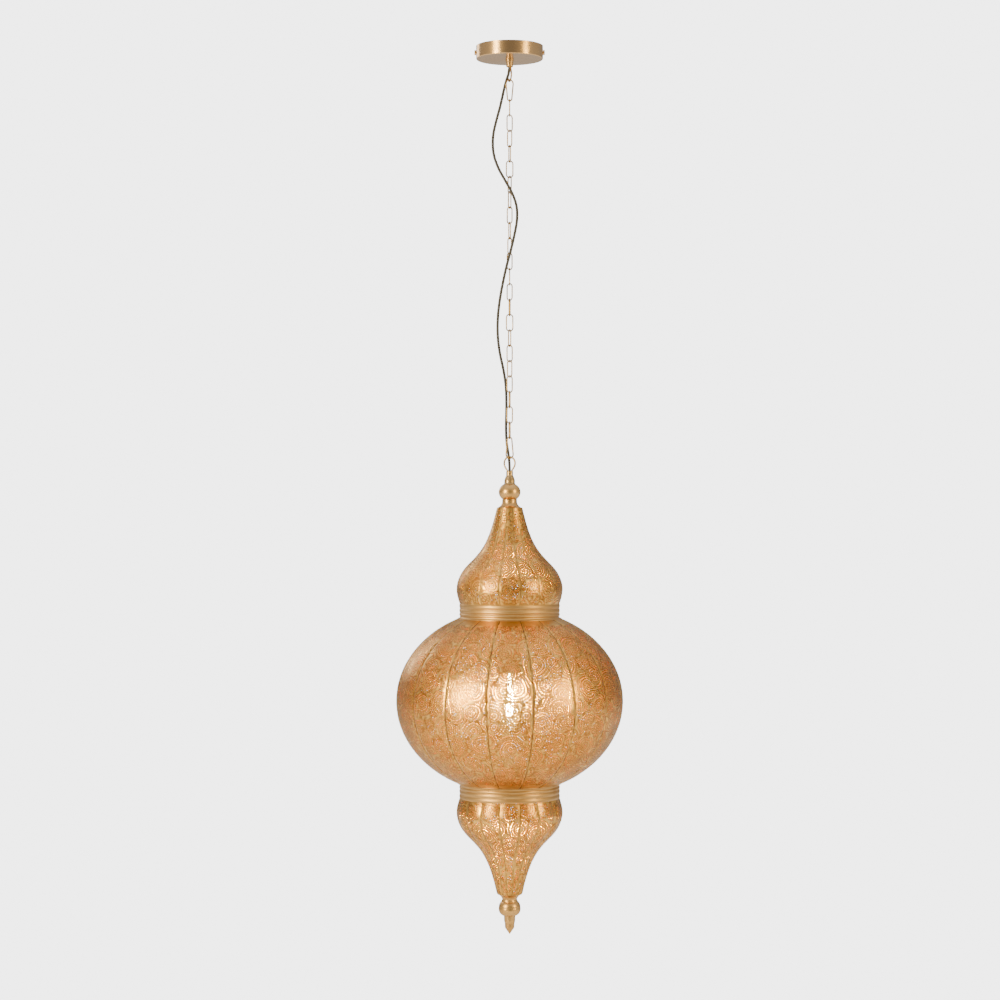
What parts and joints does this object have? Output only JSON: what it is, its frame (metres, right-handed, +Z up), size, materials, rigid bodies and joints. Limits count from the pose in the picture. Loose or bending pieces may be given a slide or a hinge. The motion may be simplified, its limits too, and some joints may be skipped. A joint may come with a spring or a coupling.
{
  "type": "hanging pendant lantern",
  "caption": "Hanging lantern of pierced brass sheet: ceiling canopy, link chain with slack cord, onion dome, flattened globe, bowl and finial round a lamp.",
  "frame": {"origin": "centre of the ceiling face, where the bracket meets the ceiling", "axes": "+Z up, along the chain and the lantern's own axis; +Y away from the viewer; +X to the viewer's right, along the bracket"},
  "size_m": [0.4, 0.4, 1.5685],
  "materials": {
    "pierced_brass": "satin, pierced sheet",
    "brass": "satin",
    "chain_brass": "satin, slightly dulled",
    "steel": "zinc plated",
    "plastic": "matte",
    "cord": "braided textile sleeve",
    "bulb_glass": "clear",
    "filament": "coated LED filament"
  },
  "bodies": {
    "canopy": {"ceiling_bracket": "steel", "terminal_block": "plastic", "terminal_screws": "steel", "earth_screw": "steel", "canopy_cup": "brass", "canopy_screws": "brass", "canopy_nipple": "steel", "canopy_nut_and_washer": "steel", "canopy_loop": "chain_brass"},
    "upper_connector": {"upper_connector": "chain_brass"},
    "chain": {"chain_link_01": "chain_brass", "chain_link_02": "chain_brass", "chain_link_03": "chain_brass", "chain_link_04": "chain_brass", "chain_link_05": "chain_brass", "chain_link_06": "chain_brass", "chain_link_07": "chain_brass", "chain_link_08": "chain_brass", "chain_link_09": "chain_brass", "chain_link_10": "chain_brass", "chain_link_11": "chain_brass", "chain_link_12": "chain_brass", "chain_link_13": "chain_brass", "chain_link_14": "chain_brass", "chain_link_15": "chain_brass", "chain_link_16": "chain_brass", "chain_link_17": "chain_brass", "chain_link_18": "chain_brass", "chain_link_19": "chain_brass", "chain_link_20": "chain_brass", "chain_link_21": "chain_brass", "chain_link_22": "chain_brass", "supply_cord": "cord"},
    "lower_connector": {"lower_connector": "chain_brass"},
    "lantern": {"lantern_loop": "chain_brass", "top_ball": "brass", "top_cap": "brass", "centre_rod": "steel", "rod_nuts": "steel", "dome_washer": "steel", "dome": "pierced_brass", "upper_band": "brass", "upper_neck_ring": "brass", "globe": "pierced_brass", "lower_neck_ring": "brass", "holder_cap": "brass", "holder_body": "brass", "holder_ring": "brass", "holder_contact": "plastic"},
    "bowl": {"lower_band": "brass", "bowl": "pierced_brass", "bottom_neck": "brass", "bottom_ball": "brass", "finial": "brass", "bowl_nut_and_washer": "steel", "bowl_stud": "steel"},
    "bulb": {"bulb_cap": "steel", "bulb_glass": "bulb_glass", "bulb_stem": "bulb_glass", "bulb_filaments": "filament"}
  },
  "joints": [
    {"name": "connector_swing", "type": "hinge", "parent": "canopy", "child": "upper_connector", "pos_m": [0, 0, -0.0625], "axis": [-0.2588, 0.9659, 0], "range_deg": [-25, 25], "deforming": ["supply_cord"]},
    {"name": "chain_swing", "type": "hinge", "parent": "upper_connector", "child": "chain", "pos_m": [0, 0, -0.0972], "axis": [0.829, 0.5592, 0], "range_deg": [-25, 25], "deforming": ["supply_cord"]},
    {"name": "lower_connector_swing", "type": "hinge", "parent": "chain", "child": "lower_connector", "pos_m": [0, 0, -0.69352], "axis": [-0.1736, 0.9848, 0], "range_deg": [-25, 25], "deforming": ["supply_cord"]},
    {"name": "lantern_swing", "type": "hinge", "parent": "lower_connector", "child": "lantern", "pos_m": [0, 0, -0.72862], "axis": [0.829, 0.5592, 0], "range_deg": [-25, 25], "deforming": ["supply_cord"]},
    {"name": "bowl_drop", "type": "slide", "parent": "lantern", "child": "bowl", "axis": [0, 0, -1], "range_m": [0, 0.12]},
    {"name": "bulb_draw", "type": "slide", "parent": "lantern", "child": "bulb", "axis": [0, 0, -1], "range_m": [0, 0.03]}
  ]
}
